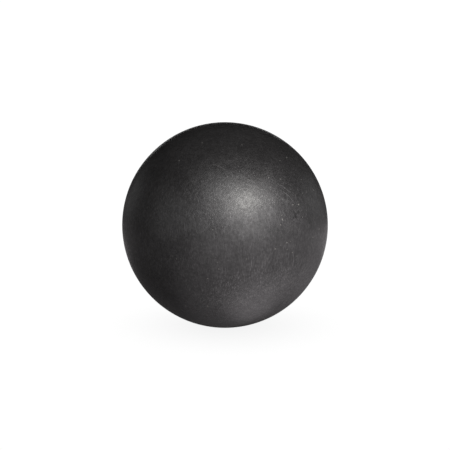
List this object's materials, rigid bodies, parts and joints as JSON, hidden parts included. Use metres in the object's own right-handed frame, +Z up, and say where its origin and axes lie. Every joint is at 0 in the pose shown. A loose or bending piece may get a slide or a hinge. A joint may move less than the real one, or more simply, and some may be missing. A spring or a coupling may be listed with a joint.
{
  "type": "case opening friction ball",
  "caption": "Hollow ball of soft grippy rubber with a needle valve, pressed on a watch's screwed case back to turn it by friction.",
  "frame": {"origin": "middle of the small flat that the resting ball stands on, at its lowest point", "axes": "+Z up; +Y along the mould axis and out through the needle valve, so the plain working side faces -Y; +X along the seam"},
  "size_m": [0.065, 0.0646, 0.0648],
  "materials": {
    "shell_rubber": "matte, finely buffed, charcoal",
    "cement": "satin, cured rubber cement",
    "valve_rubber": "satin, moulded, black",
    "plug_rubber": "matte, soft, dark grey"
  },
  "bodies": {
    "root": {"front_half_shell": "shell_rubber", "rear_half_shell": "shell_rubber", "seam_cement": "cement", "valve_cement": "cement", "valve_housing": "valve_rubber", "valve_plug": "plug_rubber"}
  },
  "joints": []
}
